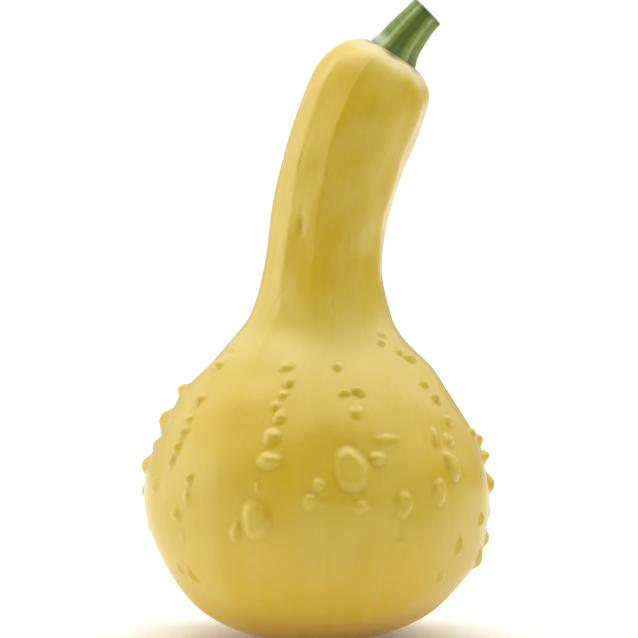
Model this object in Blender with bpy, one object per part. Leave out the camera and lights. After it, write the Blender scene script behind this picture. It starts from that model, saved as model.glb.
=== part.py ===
"""Crookneck squash: a ribbed, warty yellow fruit with the cut green stalk that it was picked by.

Metres, +Z up. The fruit stands on the small flat of its blossom end. The origin is the middle of
that flat, the neck bends over towards +X, and the stalk leaves its top.

Both pieces are made alike: an outline is turned about +Z, channels are pressed in between its ribs
or ridges, and the turned shape is carried along a core line that leans and bends. A height is a
length along that line, and a radius is that of the ribs' crests.
"""
import math

import bmesh
import bpy
import numpy as np

# Fruit: the radius of each ring of its outline, and the rise to it from the ring below
FOOT_RADIUS = 0.0140            # the flat that it stands on
BULB_RADIUS = 0.0544            # its widest ring
BULB_RISE = 0.0445
HIP_RADIUS = 0.0500
HIP_RISE = 0.0184
SHOULDER_RADIUS = 0.0350
SHOULDER_RISE = 0.0221
NECK_ROOT_RADIUS = 0.0220
NECK_ROOT_RISE = 0.0174
WAIST_RADIUS = 0.0181           # the thinnest ring of the neck
WAIST_RISE = 0.0272
HEAD_RADIUS = 0.0193            # the neck swells again below its top
HEAD_RISE = 0.0360
SEAT_RISE = 0.0207              # from there to the flat that carries the stalk

# Direction of the fruit's outline at a ring, in degrees: 0 is outward, 90 is up
FOOT_DIRECTION = 7.0
HIP_DIRECTION = 113.5
SHOULDER_DIRECTION = 132.0
NECK_ROOT_DIRECTION = 107.5
SEAT_DIRECTION = 159.0

# Core line of the fruit, in degrees away from upright
LEAN = 1.4                      # taken up in the bulb
BEND_RISE = 0.0067              # from the neck's root to where the neck starts to bend
NECK_BEND = 30.8                # added evenly from there to the seat

# Ribs of the fruit
RIB_COUNT = 10
CHANNEL_DEPTH = 0.0010          # between two ribs, at the widest ring
FIRST_RIB = -74.0               # degrees about +Z from +X

# Warts: rib, degrees to the side of its crest, height of the middle, width, length up the rib,
# and how far it stands out. Each one has a twin on the far side of the fruit.
WARTS = (
    (0, -5.0, 0.053, 0.0130, 0.0170, 0.0016),
    (0, 5.0, 0.056, 0.0080, 0.0080, 0.0012),
    (0, -18.0, 0.042, 0.0080, 0.0080, 0.0012),
    (0, -2.0, 0.041, 0.0090, 0.0080, 0.0012),
    (0, 0.0, 0.079, 0.0080, 0.0080, 0.0010),
    (1, 4.0, 0.062, 0.0100, 0.0100, 0.0016),
    (1, -1.0, 0.053, 0.0090, 0.0130, 0.0016),
    (1, 6.0, 0.081, 0.0080, 0.0120, 0.0012),
    (1, 8.0, 0.031, 0.0080, 0.0100, 0.0010),
    (2, 0.0, 0.060, 0.0090, 0.0110, 0.0018),
    (2, -1.0, 0.047, 0.0090, 0.0110, 0.0018),
    (2, -6.0, 0.030, 0.0080, 0.0110, 0.0014),
    (-1, 0.0, 0.057, 0.0090, 0.0080, 0.0014),
    (-1, 1.0, 0.064, 0.0080, 0.0080, 0.0012),
    (-1, 2.0, 0.077, 0.0080, 0.0080, 0.0012),
    (-1, -1.0, 0.038, 0.0110, 0.0140, 0.0010),
    (-2, -6.0, 0.064, 0.0080, 0.0140, 0.0012),
    (-2, 6.0, 0.047, 0.0080, 0.0120, 0.0010),
    (-3, 0.0, 0.069, 0.0090, 0.0100, 0.0016),
    (-3, 0.0, 0.055, 0.0090, 0.0090, 0.0016),
)

# Stalk
STALK_LENGTH = 0.0174
STALK_BEND = 13.5               # degrees, along its whole length
STALK_BASE_RADIUS = 0.0088      # the flared foot that sits on the fruit
FLARE_RISE = 0.0066             # from its foot to the end of the flare
FLARE_RADIUS = 0.0066
STALK_END_RADIUS = 0.0054
FLARE_DIRECTION = 112.0
FLARE_END_DIRECTION = 96.0
STALK_END_DIRECTION = 91.0
RIDGE_COUNT = 6
GROOVE_SHARE = 0.20             # depth of a groove between two ridges, as a share of the radius
FIRST_RIDGE = -61.0             # degrees about +Z from +X

# Where the stalk joins the fruit
JOINT_GAP = 0.0003
SEAT_MARGIN = 0.0003            # the seat is this much wider than the stalk's foot

# Fineness of the meshes
FRUIT_COLUMNS = 80
STALK_COLUMNS = 48
FRUIT_SPAN_STEPS = 6
STALK_SPAN_STEPS = 5
CORE_STEPS = 400
HANDLE_SHARE = 0.39             # length of an outline's curve handles, as a share of their chord


def smooth(value):
    """A ramp from 0 to 1 with level ends, held outside that range."""
    value = np.clip(value, 0.0, 1.0)
    return value * value * (3.0 - 2.0 * value)


def direction(degrees):
    """The unit step outward and up for a direction of the outline."""
    return np.array((math.cos(math.radians(degrees)), math.sin(math.radians(degrees))))


def outline(rings, steps):
    """Points (radius, height) on the smooth curve through rings of (radius, height, direction)."""
    points = []
    for (radius, height, degrees), (next_radius, next_height, next_degrees) in zip(rings, rings[1:]):
        start = np.array((radius, height))
        end = np.array((next_radius, next_height))
        handle = HANDLE_SHARE * np.linalg.norm(end - start)
        leave = start + handle * direction(degrees)
        arrive = end - handle * direction(next_degrees)
        t = np.linspace(0.0, 1.0, steps + 1)[:-1, None]
        points.extend(
            (1 - t) ** 3 * start
            + 3 * (1 - t) ** 2 * t * leave
            + 3 * (1 - t) * t ** 2 * arrive
            + t ** 3 * end
        )
    points.append(np.array(rings[-1][:2]))
    return points


def core_line(start, length, tilt):
    """Heights, x, z and tilts along a core line from start, where tilt gives radians at a height."""
    heights = np.linspace(0.0, length, CORE_STEPS + 1)
    step = length / CORE_STEPS
    middles = tilt(heights[:-1] + step / 2)
    x = start[0] + np.append(0.0, np.cumsum(np.sin(middles)) * step)
    z = start[1] + np.append(0.0, np.cumsum(np.cos(middles)) * step)
    return heights, x, z, tilt(heights)


def turned(points, columns):
    """A bmesh turned about +Z from the outline, with a middle point that closes each end."""
    shape = bmesh.new()
    profile = [(0.0, points[0][1])] + [tuple(point) for point in points] + [(0.0, points[-1][1])]
    verts = [shape.verts.new((radius, 0.0, height)) for radius, height in profile]
    edges = [shape.edges.new(pair) for pair in zip(verts, verts[1:])]
    bmesh.ops.spin(
        shape, geom=verts + edges, cent=(0, 0, 0), axis=(0, 0, 1), angle=math.tau,
        steps=columns, use_merge=True, use_duplicate=False,
    )
    bmesh.ops.remove_doubles(shape, verts=shape.verts, dist=1e-6)
    return shape


def carried(shape, core, relief):
    """Moves the turned shape's points: relief gives their new radius, and then core bends them."""
    heights, core_x, core_z, tilts = core
    for vert in shape.verts:
        angle = math.atan2(vert.co.y, vert.co.x)
        height = vert.co.z
        radius = relief(math.hypot(vert.co.x, vert.co.y), angle, height)
        side = radius * math.cos(angle)
        tilt = np.interp(height, heights, tilts)
        vert.co.x = np.interp(height, heights, core_x) + side * math.cos(tilt)
        vert.co.y = radius * math.sin(angle)
        vert.co.z = np.interp(height, heights, core_z) - side * math.sin(tilt)
    bmesh.ops.recalc_face_normals(shape, faces=shape.faces)


def material(name, colour, roughness):
    """A Principled material that isn't metal."""
    made = bpy.data.materials.new(name)
    made.use_nodes = True
    shader = made.node_tree.nodes["Principled BSDF"]
    shader.inputs["Base Color"].default_value = (*colour, 1.0)
    shader.inputs["Roughness"].default_value = roughness
    shader.inputs["Metallic"].default_value = 0.0
    return made


def add_piece(name, shape, finish):
    """An object of this name made from the bmesh, shaded smooth apart from its sharp edges."""
    mesh = bpy.data.meshes.new(name)
    shape.to_mesh(mesh)
    shape.free()
    mesh.materials.append(finish)
    mesh.shade_smooth()
    mesh.set_sharp_from_angle(angle=math.radians(50))
    made = bpy.data.objects.new(name, mesh)
    bpy.context.scene.collection.objects.link(made)
    return made


def clear_scene():
    """Removes every object of the open scene."""
    for item in list(bpy.data.objects):
        bpy.data.objects.remove(item, do_unlink=True)


def fruit_rings():
    """The fruit's outline, from the flat under it to the seat of the stalk."""
    rises = (
        0.0, BULB_RISE, HIP_RISE, SHOULDER_RISE, NECK_ROOT_RISE, WAIST_RISE, HEAD_RISE, SEAT_RISE,
    )
    radii = (
        FOOT_RADIUS, BULB_RADIUS, HIP_RADIUS, SHOULDER_RADIUS, NECK_ROOT_RADIUS, WAIST_RADIUS,
        HEAD_RADIUS, STALK_BASE_RADIUS + SEAT_MARGIN,
    )
    directions = (
        FOOT_DIRECTION, 90.0, HIP_DIRECTION, SHOULDER_DIRECTION, NECK_ROOT_DIRECTION, 90.0, 90.0,
        SEAT_DIRECTION,
    )
    return list(zip(radii, np.cumsum(rises), directions))


def fruit_core():
    """The fruit's core line: upright at the foot, leaning out of the bulb, bending in the neck."""
    root = BULB_RISE + HIP_RISE + SHOULDER_RISE + NECK_ROOT_RISE
    seat = root + WAIST_RISE + HEAD_RISE + SEAT_RISE

    def tilt(height):
        bend = np.clip((height - root - BEND_RISE) / (seat - root - BEND_RISE), 0.0, 1.0)
        return np.radians(LEAN * smooth(height / BULB_RISE) + NECK_BEND * bend)

    return core_line((0.0, 0.0), seat, tilt)


def wart_relief(radius, angle, height):
    """How far the warts raise the fruit's skin at this place: the tallest of them counts."""
    raised = 0.0
    for rib, aside, middle, width, length, proud in WARTS:
        crest = math.radians(FIRST_RIB + aside + rib * 360.0 / RIB_COUNT)
        for twin in (0.0, math.pi):
            turn = math.remainder(angle - crest - twin, math.tau)
            across = turn * radius / (width / 2)
            along = (height - middle) / (length / 2)
            raised = max(raised, proud * max(0.0, 1.0 - across ** 2 - along ** 2) ** 0.75)
    return raised


def build_fruit():
    """The whole fruit, in one piece: bulb, neck, ribs and warts."""
    def relief(radius, angle, height):
        ribs = (1.0 - math.cos(RIB_COUNT * (angle - math.radians(FIRST_RIB)))) / 2
        skin = radius * (1.0 - CHANNEL_DEPTH / BULB_RADIUS * ribs)
        return skin + wart_relief(radius, angle, height)

    shape = turned(outline(fruit_rings(), FRUIT_SPAN_STEPS), FRUIT_COLUMNS)
    carried(shape, fruit_core(), relief)
    return add_piece("fruit", shape, material("squash_skin", (0.66, 0.49, 0.11), 0.40))


def build_stalk():
    """The stalk: six ridges that spread into a flared foot, cut square at its far end."""
    _, fruit_x, fruit_z, fruit_tilts = fruit_core()
    seat_tilt = fruit_tilts[-1]
    start = (
        fruit_x[-1] + JOINT_GAP * math.sin(seat_tilt),
        fruit_z[-1] + JOINT_GAP * math.cos(seat_tilt),
    )
    rings = [
        (STALK_BASE_RADIUS, 0.0, FLARE_DIRECTION),
        (FLARE_RADIUS, FLARE_RISE, FLARE_END_DIRECTION),
        (STALK_END_RADIUS, STALK_LENGTH, STALK_END_DIRECTION),
    ]

    def tilt(height):
        return seat_tilt + math.radians(STALK_BEND) * height / STALK_LENGTH

    def relief(radius, angle, height):
        groove = (1.0 - math.cos(RIDGE_COUNT * (angle - math.radians(FIRST_RIDGE)))) / 2
        return radius * (1.0 - GROOVE_SHARE * groove)

    shape = turned(outline(rings, STALK_SPAN_STEPS), STALK_COLUMNS)
    carried(shape, core_line(start, STALK_LENGTH, tilt), relief)
    return add_piece("stalk", shape, material("stalk_green", (0.15, 0.24, 0.05), 0.55))


clear_scene()
build_fruit()
build_stalk()
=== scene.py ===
import math

import bpy
import numpy as np
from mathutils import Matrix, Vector


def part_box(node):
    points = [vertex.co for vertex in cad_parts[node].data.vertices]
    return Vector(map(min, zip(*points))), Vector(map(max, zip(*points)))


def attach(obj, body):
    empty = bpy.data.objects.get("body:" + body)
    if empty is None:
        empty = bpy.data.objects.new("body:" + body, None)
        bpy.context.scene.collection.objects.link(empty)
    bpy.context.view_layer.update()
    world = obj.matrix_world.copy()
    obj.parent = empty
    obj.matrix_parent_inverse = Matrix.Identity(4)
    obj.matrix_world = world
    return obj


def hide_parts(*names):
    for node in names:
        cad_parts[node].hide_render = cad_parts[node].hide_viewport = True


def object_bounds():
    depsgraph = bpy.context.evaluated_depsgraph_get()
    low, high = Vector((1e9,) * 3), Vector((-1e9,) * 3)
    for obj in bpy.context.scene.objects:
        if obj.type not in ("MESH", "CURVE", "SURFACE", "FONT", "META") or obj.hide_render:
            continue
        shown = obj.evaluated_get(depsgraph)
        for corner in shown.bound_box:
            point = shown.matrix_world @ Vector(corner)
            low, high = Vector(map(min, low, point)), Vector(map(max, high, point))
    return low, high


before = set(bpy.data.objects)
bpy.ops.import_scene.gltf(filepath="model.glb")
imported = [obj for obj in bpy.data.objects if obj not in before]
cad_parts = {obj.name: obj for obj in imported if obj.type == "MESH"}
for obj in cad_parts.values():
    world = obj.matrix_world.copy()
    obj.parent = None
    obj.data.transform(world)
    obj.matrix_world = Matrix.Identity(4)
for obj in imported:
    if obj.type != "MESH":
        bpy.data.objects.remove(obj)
cad_low, cad_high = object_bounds()


# ----------------------------------------------------------------------------------------------
# Fruit. It grew as one piece: a round bulb with ten faint flats, a neck that bends over, and a
# domed head that carries the stalk. Its skin is thin, smooth and waxy, and rows of warts stand on
# the flats of the bulb.

# Sizes in metres for a fruit as tall as this; the frame's fruit says how tall it really is.
DRAWN_HEIGHT = 0.1869
fruit_low, fruit_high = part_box("fruit")
scale = (fruit_high.z - fruit_low.z) / DRAWN_HEIGHT

# Outline from the blossom scar to the middle of the seat: radius, height along the core line, and
# direction in degrees, 0 outward and 90 up
SCAR_RING = (0.0, 0.0018, 0.0)
SCAR_EDGE = (0.0085, 0.0000, 0.0)
FOOT_RING = (0.0140, 0.0002, 6.0)
BULB_RING = (0.0544, 0.0445, 90.0)
HIP_RING = (0.0500, 0.0629, 113.5)
SHOULDER_RING = (0.0350, 0.0850, 132.0)
ROOT_RING = (0.0220, 0.1024, 107.5)
WAIST_RING = (0.0181, 0.1296, 90.0)
HEAD_RING = (0.0192, 0.1656, 90.0)
SEAT_RING = (0.0089, 0.1863, 159.0)
SEAT_MIDDLE = (0.0, 0.1866, 180.0)

# Core line: its lean and its bend in degrees away from upright, and the height where the bend starts
LEAN = 1.4
BEND_START = 0.1091
BEND = 30.8

# Grid of points on the skin. Its rows stand closer between two heights, where the warts are, and
# each height has its own fade.
COLUMNS = 428
ROWS = 230
WARTY_FROM, FROM_FADE = 0.006, 0.012
WARTY_TO, TO_FADE = 0.102, 0.008
WARTY_CLOSENESS = 1.9

# Handles of the outlines' curves, as a share of the span between two rings
HANDLE = 0.39


def ramp(value):
    """0 to 1 with level ends."""
    value = np.clip(value, 0.0, 1.0)
    return value * value * (3.0 - 2.0 * value)


def chain(rings, samples=160):
    """Points (radius, height) on the smooth curve through the rings.

    Each span is a cubic Bezier curve. It leaves and arrives along its rings' directions, with
    handles that are HANDLE of the span's chord.
    """
    rings = np.array(rings, float)
    way = np.stack([np.cos(np.radians(rings[:, 2])), np.sin(np.radians(rings[:, 2]))], axis=1)
    start, end = rings[:-1, :2], rings[1:, :2]
    handle = HANDLE * np.linalg.norm(end - start, axis=1)[:, None]
    leave, arrive = start + handle * way[:-1], end - handle * way[1:]
    t = np.linspace(0.0, 1.0, samples, endpoint=False)[None, :, None]
    curve = (
        (1 - t) ** 3 * start[:, None]
        + 3 * (1 - t) ** 2 * t * leave[:, None]
        + 3 * (1 - t) * t ** 2 * arrive[:, None]
        + t ** 3 * end[:, None]
    )
    return np.vstack([curve.reshape(-1, 2), end[-1:]])


def spaced(curve, rows, density):
    """Rows (radius, height, length so far) along the curve, closer where density(height) is high."""
    step = np.linalg.norm(np.diff(curve, axis=0), axis=1)
    length = np.append(0.0, np.cumsum(step))
    middles = (curve[1:, 1] + curve[:-1, 1]) / 2
    weight = np.append(0.0, np.cumsum(step * density(middles)))
    at = np.linspace(0.0, weight[-1], rows)
    return np.stack([np.interp(at, weight, column) for column in (*curve.T, length)], axis=1)


def core_line(height):
    """x, z and tilt of the fruit's core at a height along it.

    The tilt grows smoothly to LEAN up the bulb, and from BEND_START evenly by BEND more. Its sine
    and cosine, summed from the foot, give x and z.
    """
    grid = np.linspace(0.0, SEAT_MIDDLE[1], 2001)
    bend = np.clip((grid - BEND_START) / (SEAT_RING[1] - BEND_START), 0.0, 1.0)
    tilt = np.radians(LEAN * ramp(grid / BULB_RING[1]) + BEND * bend)
    middle = (tilt[1:] + tilt[:-1]) / 2
    x = np.append(0.0, np.cumsum(np.sin(middle) * np.diff(grid)))
    z = np.append(0.0, np.cumsum(np.cos(middle) * np.diff(grid)))
    return np.interp(height, grid, x), np.interp(height, grid, z), np.interp(height, grid, tilt)


def carried(radius, height, turn, line):
    """Points at a radius and a turn round a core line: turn 0 faces -Y and a quarter turn faces +X.

    side is how far a point lies towards the bend; x gains side times the tilt's cosine, and z
    loses side times its sine.
    """
    x, z, tilt = line(height)
    side = radius * np.sin(turn)
    away = -radius * np.cos(turn)
    return np.stack([x + side * np.cos(tilt), away, z - side * np.sin(tilt)], axis=-1)


def outward(points):
    """Unit normals of a grid of points: the step round it crossed with the step up it."""
    around = np.roll(points, -1, axis=1) - np.roll(points, 1, axis=1)
    normal = np.cross(around, np.gradient(points, axis=0))
    return normal / np.maximum(np.linalg.norm(normal, axis=-1, keepdims=True), 1e-12)


def closed_skin(name, grid):
    """A closed mesh object from a grid of points: rows go up, and columns go round anticlockwise.

    The first and last rows are closed by fans to their own middles.
    """
    rows, columns = grid.shape[:2]
    points = np.vstack([grid.reshape(-1, 3), grid[0].mean(axis=0), grid[-1].mean(axis=0)])
    here = np.arange(rows * columns).reshape(rows, columns)
    beside = np.roll(here, -1, axis=1)
    quads = np.stack([here[:-1], beside[:-1], beside[1:], here[1:]], axis=-1).reshape(-1, 4)
    low, high = np.full(columns, rows * columns), np.full(columns, rows * columns + 1)
    fans = np.vstack([
        np.stack([low, beside[0], here[0]], axis=-1),
        np.stack([high, here[-1], beside[-1]], axis=-1),
    ])
    mesh = bpy.data.meshes.new(name)
    mesh.from_pydata(points.tolist(), [], quads.tolist() + fans.tolist())
    mesh.shade_smooth()
    made = bpy.data.objects.new(name, mesh)
    bpy.context.scene.collection.objects.link(made)
    return made


def store(piece, name, values):
    """Keeps a number for each point of the piece's grid, with the two fans' middles after it."""
    values = np.append(values.ravel(), [values[0].mean(), values[-1].mean()]).astype(np.float32)
    piece.data.attributes.new(name, "FLOAT", "POINT").data.foreach_set("value", values)


def row_density(height):
    """1, and WARTY_CLOSENESS more from WARTY_FROM to WARTY_TO, with soft ends."""
    inside = ramp((height - WARTY_FROM) / FROM_FADE) * ramp((WARTY_TO - height) / TO_FADE)
    return 1.0 + WARTY_CLOSENESS * inside


outline = chain([
    SCAR_RING, SCAR_EDGE, FOOT_RING, BULB_RING, HIP_RING, SHOULDER_RING, ROOT_RING, WAIST_RING,
    HEAD_RING, SEAT_RING, SEAT_MIDDLE,
])
rows = spaced(outline, ROWS + 2, row_density)[1:-1]
ring_radius, ring_height, ring_length = (column[:, None] for column in rows.T)
turn = np.linspace(-math.pi, math.pi, COLUMNS, endpoint=False)[None, :]

# Flats: seen from above the fruit is a soft ten-sided shape, clearest on the neck, where its corners
# wind a little way round
FLATS = 10
FIRST_CORNER = math.radians(-5.0)
CORNER_TWIST = math.radians(-14.0)
NECK_FLATNESS = 0.70
BULB_FLATNESS = 0.26
CORNER_SOFTNESS = math.radians(0.7)
SOFTER_BEHIND = 6.0
CORNER_DRIFT = math.radians(4.0)

# Where the neck's flatness and the corners' twist set in and over what height, and how far the flats
# fade out towards the foot and the seat
NECK_FROM, NECK_BLEND = 0.088, 0.030
TWIST_FROM, TWIST_REACH = 0.090, 0.080
END_FADE = 0.012


def flat_sided(turn):
    """Radius of a ten-sided shape as a share of its round one, with its corners rounded.

    It is the average of exact polygons turned a little to and fro, by CORNER_SOFTNESS at the first
    corner and by SOFTER_BEHIND times as much again further round. The corners drift from their even
    places by CORNER_DRIFT times 1 minus the cosine of three turns.
    """
    half = math.pi / FLATS
    softness = CORNER_SOFTNESS * (1.0 + SOFTER_BEHIND * ramp((1.0 - np.cos(turn)) / 0.25))
    turn = turn - CORNER_DRIFT * (1.0 - np.cos(3 * turn))
    shifts = (-1.0, -0.5, 0.0, 0.5, 1.0)
    total = 0.0
    for shift in shifts:
        aside = (turn + shift * softness) % (2 * half) - half
        total = total + math.cos(half) / np.cos(aside)
    return total / len(shifts) / math.cos(half / 2) - 1.0


neck_share = ramp((ring_height - NECK_FROM) / NECK_BLEND)
fade = ramp(ring_height / END_FADE) * ramp((SEAT_RING[1] + 0.001 - ring_height) / END_FADE)
flatness = (BULB_FLATNESS + (NECK_FLATNESS - BULB_FLATNESS) * neck_share) * fade
corner = FIRST_CORNER + CORNER_TWIST * np.clip((ring_height - TWIST_FROM) / TWIST_REACH, 0.0, 1.0)
radius = ring_radius * (1.0 + flatness * flat_sided(turn - corner))

# The bulb is a little fuller low down on the side that the neck bends to
FULLER = 0.0010
FULLEST_AT, FULLER_REACH = 0.020, 0.013
low_down = np.exp(-(((ring_height - FULLEST_AT) / FULLER_REACH) ** 2))
radius = radius + FULLER * np.sin(turn) * low_down

# Warts: turn in degrees, height, width, length, slant in degrees, how far each stands out, and the
# share of it that is a flat top. All sizes are in millimetres.
DOME, BLISTER = 0.15, 0.55
WARTS = [
    # far left, on the edge of the bulb
    (-92, 76.0, 6.5, 6.0, 0, 1.9, DOME), (-90, 67.0, 8.0, 10.0, 0, 2.8, DOME),
    (-91, 59.5, 4.0, 5.0, 0, 0.9, DOME), (-89, 53.0, 7.0, 7.6, 0, 1.8, DOME),
    (-94, 44.0, 4.0, 5.0, 0, 1.0, DOME), (-90, 33.0, 4.0, 5.0, 0, 0.6, DOME),
    # left
    (-67, 90.5, 7.0, 3.6, 15, 0.9, DOME), (-63, 85.3, 5.0, 5.2, -15, 1.4, DOME),
    (-60, 75.5, 5.0, 6.0, 10, 1.4, DOME), (-58.5, 69.3, 3.8, 3.6, 0, 1.0, DOME),
    (-58, 65.5, 4.6, 5.0, 0, 1.4, DOME), (-58.5, 60.8, 4.6, 5.0, 5, 1.4, DOME),
    (-59, 56.3, 4.0, 4.6, 0, 1.3, DOME), (-66.5, 48.8, 4.4, 6.0, 0, 1.1, DOME),
    (-46.8, 52.2, 3.6, 5.0, 0, 1.2, DOME), (-47, 46.8, 3.2, 6.0, 0, 0.9, DOME),
    (-53, 41.0, 4.6, 5.0, 0, 1.4, DOME), (-51, 34.5, 3.4, 4.0, 0, 0.4, DOME),
    (-59.5, 23.5, 3.8, 3.8, 0, 0.8, DOME), (-52.5, 22.3, 3.4, 7.0, -25, 1.0, DOME),
    # front, left of the middle
    (-17.8, 86.7, 5.0, 4.4, 0, 0.9, DOME), (-14.8, 82.2, 4.2, 4.0, 0, 1.3, DOME),
    (-16, 78.6, 3.4, 3.2, 0, 0.8, DOME), (-18.4, 75.4, 3.6, 3.6, 0, 0.9, DOME),
    (-15.4, 72.2, 4.4, 4.6, 20, 1.3, DOME), (-17, 66.3, 6.6, 6.0, 0, 1.2, DOME),
    (-16.5, 59.4, 8.0, 5.6, 0, 1.5, DOME), (-19.5, 51.5, 2.2, 4.2, 0, 0.5, DOME),
    (-19.8, 41.8, 9.6, 11.4, 0, 1.3, BLISTER), (-27, 37.5, 3.6, 6.4, 10, 1.1, DOME),
    # front, right of the middle
    (9, 87.5, 3.6, 3.8, 0, 1.2, DOME), (11, 79.7, 4.6, 3.2, 0, 1.3, DOME),
    (17.3, 80.2, 5.6, 3.8, 20, 1.6, DOME), (15, 74.0, 5.4, 4.6, 0, 0.9, DOME),
    (25, 66.3, 8.4, 3.6, 0, 0.7, DOME), (11.2, 57.6, 11.4, 13.2, 0, 1.6, BLISTER),
    (20.8, 60.7, 5.8, 5.0, 0, 1.4, DOME), (0.2, 53.1, 3.8, 4.2, 0, 1.2, DOME),
    (-2.3, 48.2, 5.0, 5.0, 0, 1.2, DOME), (13.8, 46.6, 6.2, 4.4, 0, 1.3, DOME),
    (29, 47.3, 5.6, 8.4, 0, 1.2, BLISTER), (28, 35.8, 2.6, 2.6, 0, 0.5, DOME),
    # right
    (49.5, 96.4, 4.6, 2.4, 15, 0.7, DOME), (44.3, 94.0, 3.4, 2.8, 0, 1.1, DOME),
    (55.5, 91.0, 4.6, 3.4, 15, 1.1, DOME), (61.5, 89.0, 7.0, 3.8, 20, 1.4, DOME),
    (58, 81.8, 4.6, 4.4, 0, 1.4, DOME), (59.5, 77.6, 5.0, 5.4, 0, 1.7, DOME),
    (60.8, 70.8, 4.2, 4.6, 0, 1.4, DOME), (47.3, 66.6, 3.8, 6.8, 10, 1.3, DOME),
    (55.8, 65.2, 6.4, 4.4, 0, 1.1, DOME), (51.8, 58.0, 6.0, 9.6, -10, 1.6, BLISTER),
    (43.5, 50.6, 5.2, 9.0, 0, 1.1, BLISTER), (70, 39.8, 3.6, 5.0, 0, 1.1, DOME),
    (56.2, 32.6, 3.6, 7.4, -8, 1.3, DOME), (51.2, 22.6, 3.2, 5.2, -15, 0.8, DOME),
    # far right, on the edge of the bulb
    (79, 66.0, 5.0, 5.0, 0, 1.2, DOME), (90, 63.0, 5.4, 5.4, 0, 2.0, DOME),
    (89, 58.0, 6.0, 5.4, 0, 2.4, DOME), (88, 49.6, 6.0, 7.4, 0, 2.0, DOME),
    (86, 41.0, 5.0, 6.0, 0, 0.5, DOME), (86, 32.2, 6.0, 7.0, 0, 1.4, DOME),
    (76, 28.0, 3.8, 7.4, 0, 1.1, DOME), (84, 25.0, 5.0, 7.0, 0, 1.6, DOME),
]

# The rows that face away grow at random round these turns, with this many warts in each
BACK_ROWS = (124, 160, 196, 232)
WARTS_IN_A_ROW = (13, 11, 12, 10)
growth = np.random.default_rng(5)

# The profile of a wart, as shares of the distance to its rim: where its side meets the skin, the
# raised ring round a blister's top, and the ring of painted shade in the crease round its foot
WART_EDGE = 1.12
RING_AT, RING_WIDTH, RING_RISE = 0.70, 0.15, 0.06
CREASE_AT, CREASE_WIDTH = 1.10, 0.16


def back_warts():
    """Warts on the flats that face away, as irregular as the others, from 90 mm high down to 20."""
    made = []
    for middle, count in zip(BACK_ROWS, WARTS_IN_A_ROW):
        heights = np.linspace(90.0, 20.0, count) + growth.uniform(-2.2, 2.2, count)
        for height in heights:
            size = growth.uniform(3.2, 6.2) + 3.0 * growth.random() ** 6
            made.append((
                middle + growth.uniform(-7.0, 7.0), height, size, size * growth.uniform(0.8, 1.6),
                growth.uniform(-20.0, 20.0), 0.5 + 0.2 * size * growth.uniform(0.7, 1.1), DOME,
            ))
    return made


def wart_field(warts):
    """How far the warts raise the skin, and how strong the painted shade is in the crease round each.

    d is the distance from a wart's middle as a share of its uneven rim. The wart is a dome that
    falls smoothly from its flat top to d = WART_EDGE, and a blister has a ring on it at RING_AT.
    """
    raised = np.zeros((ROWS, COLUMNS))
    crease_shade = np.zeros((ROWS, COLUMNS))
    rising = slice(ring_height.argmin(), ring_height.argmax() + 1)
    for degrees, height, width, length, slant, proud, top in warts:
        phases = growth.uniform(-math.pi, math.pi, 2)
        middle = np.interp(height / 1000, ring_height[rising, 0], ring_length[rising, 0])
        round_way = (turn - math.radians(degrees) + math.pi) % math.tau - math.pi
        across = round_way * ring_radius * 1000
        along = (ring_length - middle) * 1000
        cos, sin = math.cos(math.radians(slant)), math.sin(math.radians(slant))
        u = (across * cos - along * sin) / (width / 2)
        v = (across * sin + along * cos) / (length / 2)
        angle = np.arctan2(v, u)
        uneven = 1.0 + 0.08 * np.cos(2 * angle + phases[0]) + 0.06 * np.cos(3 * angle + phases[1])
        d = np.hypot(u, v) / uneven
        dome = ramp((WART_EDGE - d) / (WART_EDGE - top))
        ring = RING_RISE * np.exp(-(((d - RING_AT) / RING_WIDTH) ** 2)) if top == BLISTER else 0.0
        raised = np.maximum(raised, proud / 1000 * (dome + ring))
        fold = np.exp(-(((d - CREASE_AT) / CREASE_WIDTH) ** 2))
        crease_shade = np.maximum(crease_shade, min(1.0, proud) * fold)
    return raised, crease_shade


raised, crease_shade = wart_field(WARTS + back_warts())

# Marks on the neck, pressed in: turn in degrees, height, width, length, slant, depth, in millimetres
NECK_MARKS = [
    (-43, 146.0, 1.2, 4.0, 0, 0.25), (-28, 128.5, 2.6, 5.0, -10, 0.55), (-30, 133.5, 2.0, 2.2, 20, 0.2),
    (-40, 108.0, 1.4, 7.0, 35, 0.35), (9, 105.5, 1.4, 1.4, 0, 0.25), (51, 145.0, 2.4, 3.0, 30, 0.2),
    (140, 139.0, 2.0, 4.5, 10, 0.4), (-150, 118.0, 1.6, 5.0, -20, 0.3), (-110, 151.0, 1.6, 3.0, 0, 0.3),
]
DARKEST_FROM = 0.5


def dent_field(marks):
    """How deep each place is pressed in, in metres, and how dark it is for that, 0 to 1.

    Each mark is a soft oval hollow: its depth times e to minus the square of the distance from its
    middle in half widths and half lengths. Marks of DARKEST_FROM and more are fully dark.
    """
    depth = np.zeros((ROWS, COLUMNS))
    share = np.zeros((ROWS, COLUMNS))
    for degrees, height, width, length, slant, deep in marks:
        across = ((turn - math.radians(degrees) + math.pi) % math.tau - math.pi) * ring_radius * 1000
        along = ring_height * 1000 - height
        cos, sin = math.cos(math.radians(slant)), math.sin(math.radians(slant))
        u = (across * cos - along * sin) / (width / 2)
        v = (across * sin + along * cos) / (length / 2)
        hollow = np.exp(-(u ** 2 + v ** 2))
        depth = depth + deep / 1000 * hollow
        share = np.maximum(share, hollow * min(1.0, deep / DARKEST_FROM))
    return depth, share


dent, dent_share = dent_field(NECK_MARKS)

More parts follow.
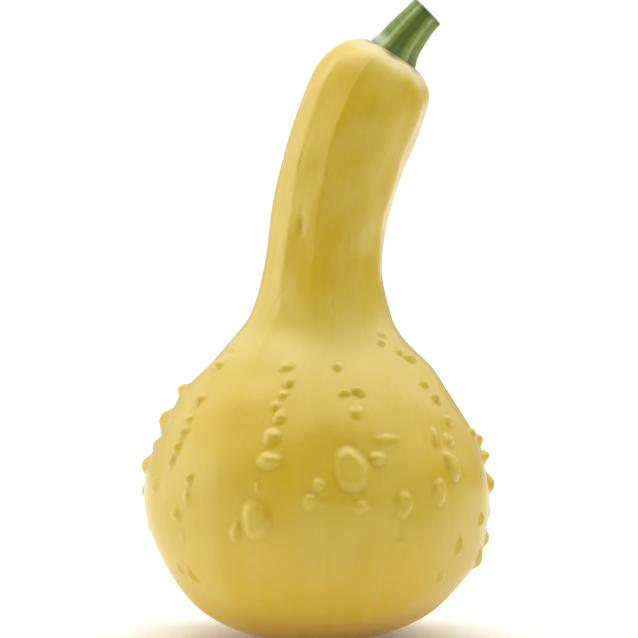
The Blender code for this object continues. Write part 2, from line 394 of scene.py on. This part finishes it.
# Slow unevenness of the whole skin: waves round it, and waves up it in radians for each 25 mm
UNEVEN = 0.00022
UP_STEPS = 40
uneven = np.zeros((ROWS, COLUMNS))
for waves_round, waves_up in ((2, 3.1), (3, 4.7), (5, 7.3), (7, 5.9)):
    phase, tip = growth.uniform(-math.pi, math.pi, 2)
    up_wave = np.cos(waves_up * UP_STEPS * ring_length + tip)
    uneven += np.cos(waves_round * turn + phase) * up_wave

# Soft lobes round the stalk, one under each of its ridges
LOBES = 6
FIRST_RIDGE = math.radians(29.0)
LOBE_RISE = 0.00035
LOBES_FROM = 0.172
ridge_wave = np.cos(LOBES * (turn - FIRST_RIDGE))
lobe = LOBE_RISE * ridge_wave * ramp((ring_height - LOBES_FROM) / 0.012)
lobe = lobe * ramp((SEAT_RING[1] + 0.0008 - ring_height) / 0.002)

# The blossom scar: a small corky button in the hollow under the fruit
BUTTON_DEPTH = 0.0007
BUTTON_RADIUS = 0.0036
underneath = ring_height < 0.01
button = BUTTON_DEPTH * ramp((BUTTON_RADIUS - ring_radius) / 0.0012) * underneath

# Nothing grows out of the flat foot, and nothing goes below the ground
FLAT_FOOT = 0.003
grown = fade * (raised + UNEVEN * uneven) - dent + lobe
skin = carried(radius, ring_height, turn, core_line)
skin = skin + outward(skin) * (grown * (ring_height >= FLAT_FOOT))[..., None]
skin[..., 2] -= button
skin[..., 2] = np.maximum(skin[..., 2], 0.0)
fruit = closed_skin("squash_fruit", skin * scale)

# What the colours follow: shares from 0 up, the cosine and sine of the turn, and the length so far
WELL_RAISED = 0.0015
COLLAR_FROM, COLLAR_REACH = 0.1795, 0.0068
SEAT_SHADE_RADIUS = 0.0099
SCAR_RADIUS = 0.0075
everywhere = np.ones((ROWS, COLUMNS))
store(fruit, "crease_shade", crease_shade)
store(fruit, "raised", raised / WELL_RAISED)
store(fruit, "dent", dent_share)
store(fruit, "collar", ramp((ring_height - COLLAR_FROM) / COLLAR_REACH) * everywhere)
# Painted shade on the skin round the stalk's foot, darkest under its grooves
seat_shade_ring = ramp((SEAT_SHADE_RADIUS - ring_radius) / 0.0006) * (ring_height > 0.17)
store(fruit, "seat", seat_shade_ring * (0.6 - 0.4 * ridge_wave))
store(fruit, "scar", ramp((SCAR_RADIUS - ring_radius) / 0.004) * underneath * everywhere)
store(fruit, "streak_x", np.cos(turn) * everywhere)
store(fruit, "streak_y", np.sin(turn) * everywhere)
store(fruit, "length", ring_length * everywhere)

# The rind is butter yellow and turns golden towards the blossom end; its deepest gold near the ground
# is also painted shade with warm light bounced from the floor. A thin wax gives it a soft shine, light
# sinks a little into the flesh under it, and it is finely streaked.


def colour(red, green, blue):
    """A colour of the shader from the 0 to 255 values that a screen shows."""
    shown = np.array((red, green, blue)) / 255
    linear = np.where(shown <= 0.04045, shown / 12.92, ((shown + 0.055) / 1.055) ** 2.4)
    return (*linear.tolist(), 1.0)


class Number:
    """A number in a material's nodes: + and * on it add Math nodes."""

    def __init__(self, paint, socket):
        self.paint = paint
        self.socket = socket

    def math(self, operation, *values):
        """A Math node of this operation on the values."""
        return self.paint.add("ShaderNodeMath", {"operation": operation}, dict(enumerate(values)))

    def __add__(self, other):
        return self.math("ADD", self, other)

    def __radd__(self, other):
        return self.math("ADD", other, self)

    def __mul__(self, other):
        return self.math("MULTIPLY", self, other)

    def __rmul__(self, other):
        return self.math("MULTIPLY", other, self)

    def between(self, low, high):
        """0 at low, 1 at high, smooth between them and level beyond; low may be the greater."""
        return self.paint.add(
            "ShaderNodeMapRange", {"interpolation_type": "SMOOTHSTEP"},
            {"Value": self, "From Min": low, "From Max": high}, "Result",
        )


class Paint:
    """One material and the nodes that vary it."""

    def __init__(self, name, **settings):
        self.material = bpy.data.materials.new(name)
        self.material.use_nodes = True
        self.tree = self.material.node_tree
        self.shader = self.tree.nodes["Principled BSDF"]
        for socket, value in settings.items():
            self.shader.inputs[socket.replace("_", " ")].default_value = value

    def feed(self, socket, value):
        """Links a socket to a value's socket, or sets it to a plain value."""
        if isinstance(value, Number):
            self.tree.links.new(value.socket, socket)
        else:
            socket.default_value = value

    def add(self, kind, settings, inputs, output=0):
        """Any node: its settings, and the values or links of its sockets by name or place."""
        node = self.tree.nodes.new(kind)
        for setting, value in settings.items():
            setattr(node, setting, value)
        for socket, value in inputs.items():
            self.feed(node.inputs[socket], value)
        return Number(self, node.outputs[output])

    def attribute(self, name):
        """A number stored on the piece."""
        return self.add("ShaderNodeAttribute", {"attribute_name": name}, {}, "Fac")

    def place(self):
        """The point on the piece, in metres."""
        return self.add("ShaderNodeTexCoord", {}, {}, "Object")

    def noise(self, where, size, detail=2.0, roughness=0.5):
        """Smooth noise around 0.5 whose patches are about size metres across."""
        return self.add(
            "ShaderNodeTexNoise", {"noise_dimensions": "3D"},
            {"Vector": where, "Scale": 1.0 / size, "Detail": detail, "Roughness": roughness},
            "Fac",
        )

    def mix(self, share, first, second):
        """A colour between two, by share."""
        return self.add(
            "ShaderNodeMix", {"data_type": "RGBA"},
            {0: share, 6: first, 7: second}, 2,
        )

    def bump(self, height, distance, under=None):
        """A normal that tilts with height, in metres, on top of another bump."""
        inputs = {"Height": height, "Distance": distance, "Strength": 1.0}
        if under is not None:
            inputs["Normal"] = under
        return self.add("ShaderNodeBump", {}, inputs)

    def set(self, **inputs):
        """Feeds the shader's own sockets."""
        for socket, value in inputs.items():
            self.feed(self.shader.inputs[socket.replace("_", " ")], value)


rind = Paint(
    "squash_rind", Coat_Roughness=0.30, Coat_IOR=1.5, Sheen_Weight=0.14, Sheen_Roughness=0.45,
    Subsurface_Weight=0.10, Subsurface_Radius=(1.0, 0.55, 0.12), Subsurface_Scale=0.003,
)
spot = rind.place()
rise = rind.add("ShaderNodeSeparateXYZ", {}, {0: spot}, "Z")
lengthwise = rind.add("ShaderNodeCombineXYZ", {}, {
    "X": rind.attribute("streak_x") * 0.030,
    "Y": rind.attribute("streak_y") * 0.030,
    "Z": rind.attribute("length") * 0.07,
})
streaks = rind.noise(lengthwise, 0.0035, 3.0)
cloud = rind.noise(spot, 0.022, 2.0)
grain = rind.noise(spot, 0.0016, 2.0)

DEEP_GOLD_AND_SHADE = colour(218, 164, 0)
GOLD = colour(219, 183, 6)
BUTTER = colour(213, 181, 20)
CREAM = colour(222, 202, 96)
CREASE_SHADE_OCHRE = colour(178, 132, 24)
DENT_OLIVE = colour(172, 146, 24)
COLLAR_HIGHLIGHT_IVORY = colour(228, 218, 160)
SEAT_SHADE_BROWN = colour(104, 84, 20)
CORK = colour(122, 92, 52)

# Golden below, with painted shade and warm bounced light in the deepest gold near the ground, and
# butter yellow above, with a paler band where the neck leaves the bulb
base = rind.mix(rise.between(0.0, 0.016), DEEP_GOLD_AND_SHADE, GOLD)
base = rind.mix(rise.between(0.008, 0.040), base, BUTTER)
# The paler band is a painted highlight where the shoulder turns up towards the light above
base = rind.mix(rise.between(0.078, 0.096) * rise.between(0.112, 0.098) * 0.45, base, CREAM)

# Streaks, clouds and grain
base = rind.mix(streaks.between(0.42, 0.72) * 0.16, base, CREAM)
base = rind.mix(cloud.between(0.55, 0.75) * 0.16, base, CREAM)
base = rind.mix(cloud.between(0.45, 0.25) * 0.14, base, GOLD)
base = rind.mix(grain.between(0.35, 0.75) * 0.10, base, CREAM)

# Painted shade in the warts' creases, their paler tops, the marks, a painted highlight on the collar,
# painted shade on the seat round the stalk, and the scar
base = rind.mix(rind.attribute("crease_shade") * 0.12, base, CREASE_SHADE_OCHRE)
base = rind.mix(rind.attribute("raised").between(0.2, 1.0) * 0.18, base, CREAM)
base = rind.mix(rind.attribute("dent") * 0.40, base, DENT_OLIVE)
# Painted highlight of the light above on the head round the stalk
base = rind.mix(rind.attribute("collar").between(0.05, 0.95) * 0.70, base, COLLAR_HIGHLIGHT_IVORY)
# Painted shade round the stalk's foot
base = rind.mix(rind.attribute("seat") * 0.75, base, SEAT_SHADE_BROWN)
scar = rind.attribute("scar")
base = rind.mix(scar.between(0.3, 0.9) * 0.9, base, CORK)

# Fine pores and shallow streaks in relief, under a wax that is thinner near the ground
pores = rind.noise(spot, 0.0009, 2.0)
relief = rind.bump(pores, 0.00004)
relief = rind.bump(streaks, 0.00012, relief)
rind.set(
    Base_Color=base,
    Roughness=0.39 + cloud * 0.06 + scar * 0.3,
    Coat_Weight=0.08 + rise.between(0.004, 0.030) * 0.38,
    Normal=relief,
)
fruit.data.materials.append(rind.material)
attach(fruit, "root")
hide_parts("fruit")


# ----------------------------------------------------------------------------------------------
# Stalk. The fibrous green stem that fed the fruit, with six ridges and grooves between them. It
# spreads into a flared foot where it grows out of the head, and a knife cut it square across.

# Its outline in the same form, with heights from the seat: the side, the cut's rounded edge, the
# cut face and the sole
STALK_SIDE = [
    (0.0089, -0.0003, 100.0), (0.0080, 0.0012, 118.0), (0.0066, 0.0066, 97.0), (0.0056, 0.0170, 91.0),
]
STALK_CUT = [(0.0056, 0.0170, 91.0), (0.0052, 0.0174, 165.0)]
STALK_FACE = [(0.0052, 0.0174, 182.0), (0.0012, 0.0169, 180.0)]
STALK_SOLE = [(0.0010, -0.0005, 0.0), (0.0089, -0.0003, 0.0)]
STALK_COLUMNS = 180
STALK_ROWS = 130
STALK_BEND = 13.5
STALK_RADIUS = STALK_CUT[0][0]
STALK_LENGTH = STALK_FACE[0][1]
FACE_RADIUS = STALK_FACE[0][0]

# Grooves as shares of the radius, and the small waves that make the stalk uneven and fibrous
GROOVE_AT_FOOT = 0.20
GROOVE_AT_END = 0.17
FIBRES = 37
FIBRE_RISE = 0.012
TOE_DROP, TOE_REACH = 0.0011, 0.0022

# The cut face is this last part of the outline's length, with its lip just before it and with
# shallow rings in its pith
FACE_REACH = 0.0043
LIP_REACH, LIP_WIDTH = 0.0047, 0.0003
PITH_DEPTH, PITH_RINGS = 0.00025, 9.0

seat_x, seat_z, seat_tilt = (float(value) for value in core_line(SEAT_RING[1]))


def stalk_line(height):
    """x, z and tilt of the stalk's core: an arc that leaves the seat square and bends on."""
    tilt = seat_tilt + math.radians(STALK_BEND) * height / STALK_LENGTH
    bow = STALK_LENGTH / math.radians(STALK_BEND)
    x = seat_x + bow * (math.cos(seat_tilt) - np.cos(tilt))
    z = seat_z + bow * (np.sin(tilt) - math.sin(seat_tilt))
    return x, z, tilt


def foot_density(height):
    """1, and up to 2 more towards the stalk's foot."""
    return 1.0 + 2.0 * ramp((0.004 - height) / 0.003)


stalk_parts = (STALK_SOLE, STALK_SIDE, STALK_CUT, STALK_FACE)
stalk_curve = np.vstack([chain(part, 60) for part in stalk_parts])
stalk_rows = spaced(stalk_curve, STALK_ROWS, foot_density)
stalk_radius, stalk_height, stalk_length = (column[:, None] for column in stalk_rows.T)
stalk_turn = np.linspace(-math.pi, math.pi, STALK_COLUMNS, endpoint=False)[None, :]
up_share = np.clip(stalk_height / STALK_LENGTH, 0.0, 1.0)

# Ridges are the crests of a wave squared, and the grooves between them are deepest in front and
# behind. The bottoms of the grooves are uneven, fibres run up the side, and the ridges end in toes
# that reach down over the seat.
wave = 0.5 + 0.5 * np.cos(LOBES * (stalk_turn - FIRST_RIDGE))
ridge = wave ** 2.0
deeper = 0.6 + 0.5 * np.cos(stalk_turn) ** 2
groove = GROOVE_AT_FOOT + (GROOVE_AT_END - GROOVE_AT_FOOT) * ramp(up_share / 0.6)
uneven_groove = 0.035 * np.cos(2 * stalk_turn + 0.6) + 0.025 * np.cos(3 * stalk_turn - 1.1)
fibre = FIBRE_RISE * np.cos(FIBRES * stalk_turn + 3 * np.sin(5 * stalk_turn)) * ramp(up_share / 0.2)
swell = uneven_groove * (1.0 - ridge) * 0.8 + fibre * 0.5
side_radius = stalk_radius * (1.0 - groove * deeper * (1.0 - ridge) + swell)
toes = TOE_DROP * ridge * ramp((TOE_REACH - stalk_height) / TOE_REACH)
stalk_skin = carried(side_radius, stalk_height - toes, stalk_turn, stalk_line)

# The rings in the pith rise and fall along the direction of the core's end
on_face = (stalk_length > stalk_length[-1] - FACE_REACH) * 1.0
end_tilt = seat_tilt + math.radians(STALK_BEND)
pith = PITH_DEPTH * on_face * np.cos(stalk_radius / FACE_RADIUS * PITH_RINGS)
stalk_skin[..., 0] -= pith * math.sin(end_tilt)
stalk_skin[..., 2] -= pith * math.cos(end_tilt)
stalk = closed_skin("squash_stalk", stalk_skin * scale)

lip = np.exp(-(((stalk_length - stalk_length[-1] + LIP_REACH) / LIP_WIDTH) ** 2))
all_round = np.ones((STALK_ROWS, STALK_COLUMNS))
store(stalk, "ridge", (1.0 - (1.0 - ridge) * deeper / 1.1) * all_round)
store(stalk, "up", up_share * all_round)
store(stalk, "face", on_face * all_round)
store(stalk, "lip", lip * all_round)
store(stalk, "across", stalk_radius / STALK_RADIUS * all_round)
store(stalk, "streak_x", np.cos(stalk_turn) * all_round)
store(stalk, "streak_y", np.sin(stalk_turn) * all_round)
store(stalk, "length", stalk_length * all_round)

green = Paint(
    "stalk_green", Roughness=0.5, Coat_Weight=0.05, Coat_Roughness=0.4,
    Subsurface_Weight=0.06, Subsurface_Radius=(0.5, 1.0, 0.2), Subsurface_Scale=0.001,
)
spot = green.place()
fibres = green.noise(green.add("ShaderNodeCombineXYZ", {}, {
    "X": green.attribute("streak_x") * 0.006,
    "Y": green.attribute("streak_y") * 0.006,
    "Z": green.attribute("length") * 0.10,
}), 0.0007, 3.0)
patches = green.noise(spot, 0.003, 2.0)
LEAF = colour(90, 112, 30)
PALE = colour(172, 186, 108)
MID = colour(134, 152, 58)
DARK_LEAF = colour(66, 86, 26)
FLARE_HIGHLIGHT = colour(206, 212, 176)
FOOT_SHADE_BROWN = colour(80, 62, 12)
LIT_TOE_LIME = colour(184, 192, 76)
LIP_GREEN = colour(62, 74, 30)
PITH_PALE = colour(206, 206, 156)
PITH_RIM = colour(140, 160, 84)
PITH_STAIN = colour(150, 126, 70)
ridged = green.attribute("ridge")
up = green.attribute("up")

# Dark grooves, mid green sides and pale crests, with fibres and darker patches
hue = green.mix(ridged.between(0.18, 0.70), LEAF, MID)
hue = green.mix(ridged.between(0.80, 1.0) * 0.5, hue, PALE)
hue = green.mix(fibres.between(0.45, 0.75) * 0.14, hue, PALE)
hue = green.mix(patches.between(0.50, 0.25) * 0.35, hue, DARK_LEAF)

# A painted whitish highlight low on the side away from the bend, painted shade at the foot, and
# painted light on the toes in lime green
away = green.attribute("streak_y").between(-0.30, -0.75)
hue = green.mix(up.between(0.30, 0.10) * away * 0.65, hue, FLARE_HIGHLIGHT)
hue = green.mix(up.between(0.10, 0.0) * 0.7, hue, FOOT_SHADE_BROWN)
hue = green.mix(up.between(0.08, 0.0) * ridged.between(0.45, 0.90) * 0.8, hue, LIT_TOE_LIME)

# The cut's darker lip, and its pale pith with a greener rim and drying stains
hue = green.mix(green.attribute("lip") * 0.75, hue, LIP_GREEN)
cut = green.attribute("face")
pith_hue = green.mix(green.attribute("across").between(0.45, 0.95), PITH_PALE, PITH_RIM)
pith_hue = green.mix(patches.between(0.55, 0.75) * 0.4, pith_hue, PITH_STAIN)
hue = green.mix(cut, hue, pith_hue)
stalk_relief = green.bump(fibres, 0.00007, green.bump(patches, 0.0001))
green.set(Base_Color=hue, Roughness=0.48 + cut * 0.3, Normal=stalk_relief)
stalk.data.materials.append(green.material)
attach(stalk, "root")
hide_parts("stalk")


# ----------------------------------------------------------------------------------------------
# Studio. A wide pale floor, white surroundings, and soft panels to the left, right, rear and above.
# The side of the camera stays darker, as the open side of a light tent does.

tall = cad_high.z - cad_low.z
centre = (cad_low + cad_high) / 2

# The floor glows more and more behind the squash, so that it runs into the white beyond it
FLOOR_REACH = 6.0
bpy.ops.mesh.primitive_circle_add(
    vertices=96, radius=FLOOR_REACH, fill_type="NGON", location=(0.0, 0.0, cad_low.z),
)
floor = bpy.context.object
floor.name = "floor"
paper = Paint(
    "floor_paper", Base_Color=(0.86, 0.86, 0.86, 1.0), Roughness=0.9, Specular_IOR_Level=0.0,
    Emission_Strength=1.0,
)
behind = paper.add("ShaderNodeSeparateXYZ", {}, {0: paper.place()}, "Y")
NEAR_GLOW, FAR_GLOW = (0.12, 0.12, 0.12, 1.0), (1.0, 1.0, 1.0, 1.0)
paper.set(Emission_Color=paper.mix(behind.between(0.15, 1.20), NEAR_GLOW, FAR_GLOW))
floor.data.materials.append(paper.material)

# The surroundings are white to the camera and give next to no light, because the panels give it
SEEN_STRENGTH = 1.05
LIGHT_STRENGTH = 0.03
world = bpy.data.worlds.new("studio")
bpy.context.scene.world = world
world.use_nodes = True
sky = world.node_tree
sky.nodes.clear()
seen = sky.nodes.new("ShaderNodeBackground")
seen.inputs["Strength"].default_value = SEEN_STRENGTH
lit = sky.nodes.new("ShaderNodeBackground")
lit.inputs["Strength"].default_value = LIGHT_STRENGTH
ray = sky.nodes.new("ShaderNodeLightPath")
choose = sky.nodes.new("ShaderNodeMixShader")
end = sky.nodes.new("ShaderNodeOutputWorld")
for node in (seen, lit):
    node.inputs["Color"].default_value = (1.0, 1.0, 1.0, 1.0)
sky.links.new(ray.outputs["Is Camera Ray"], choose.inputs["Fac"])
sky.links.new(lit.outputs[0], choose.inputs[1])
sky.links.new(seen.outputs[0], choose.inputs[2])
sky.links.new(choose.outputs[0], end.inputs["Surface"])

PANEL_DISTANCE = 1.2


def panel(name, azimuth, elevation, width, height, brightness):
    """A soft panel facing the squash.

    It stands where azimuth (0 in front, 90 right) and elevation say and spans width and height, all
    in degrees as the squash sees it. Its power is its brightness times pi times its area.
    """
    light = bpy.data.lights.new(name, "AREA")
    light.shape = "RECTANGLE"
    light.size = 2 * PANEL_DISTANCE * math.tan(math.radians(width / 2))
    light.size_y = 2 * PANEL_DISTANCE * math.tan(math.radians(height / 2))
    light.energy = brightness * math.pi * light.size * light.size_y
    placed = bpy.data.objects.new(name, light)
    bpy.context.scene.collection.objects.link(placed)
    a, e = math.radians(azimuth), math.radians(elevation)
    way = Vector((math.sin(a) * math.cos(e), -math.cos(a) * math.cos(e), math.sin(e)))
    placed.location = centre + way * PANEL_DISTANCE
    placed.rotation_euler = way.to_track_quat("Z", "Y").to_euler()


panel("left_panel", -88, 8, 66, 34, 1.86)
panel("left_upper_panel", -95, 38, 50, 30, 0.77)
panel("left_back_panel", -142, 24, 40, 56, 0.34)
panel("left_fill", -46, 28, 24, 42, 0.13)
panel("right_fill", 52, 28, 36, 44, 0.74)
panel("right_panel", 100, 40, 62, 34, 1.25)
panel("right_back_panel", 146, 10, 34, 28, 0.16)
panel("top_front_panel", 0, 70, 66, 34, 1.63)
panel("top_panel", 180, 80, 66, 34, 2.92)
panel("back_upper_panel", 180, 54, 90, 24, 0.85)
panel("back_low_panel", 180, 27, 110, 24, 0.70)

# Camera: in front, a few degrees above level and 5.5 of the squash's heights away, with a lens that
# lets the squash fill the frame from top to bottom
CAMERA_DISTANCE = 5.5
CAMERA_ELEVATION = 3.0
AIM_ASIDE = 0.0006
camera_data = bpy.data.cameras.new("camera")
camera = bpy.data.objects.new("camera", camera_data)
bpy.context.scene.collection.objects.link(camera)
camera_data.sensor_width = 36.0
camera_data.lens = camera_data.sensor_width * CAMERA_DISTANCE
aim = centre + Vector((AIM_ASIDE, 0.0, 0.0))
e = math.radians(CAMERA_ELEVATION)
back = Vector((0.0, -math.cos(e), math.sin(e)))
camera.location = aim + back * CAMERA_DISTANCE * tall
camera.rotation_euler = back.to_track_quat("Z", "Y").to_euler()
camera_data.clip_start = 0.01
camera_data.clip_end = 100.0
bpy.context.scene.camera = camera
bpy.context.scene.view_settings.view_transform = "Standard"
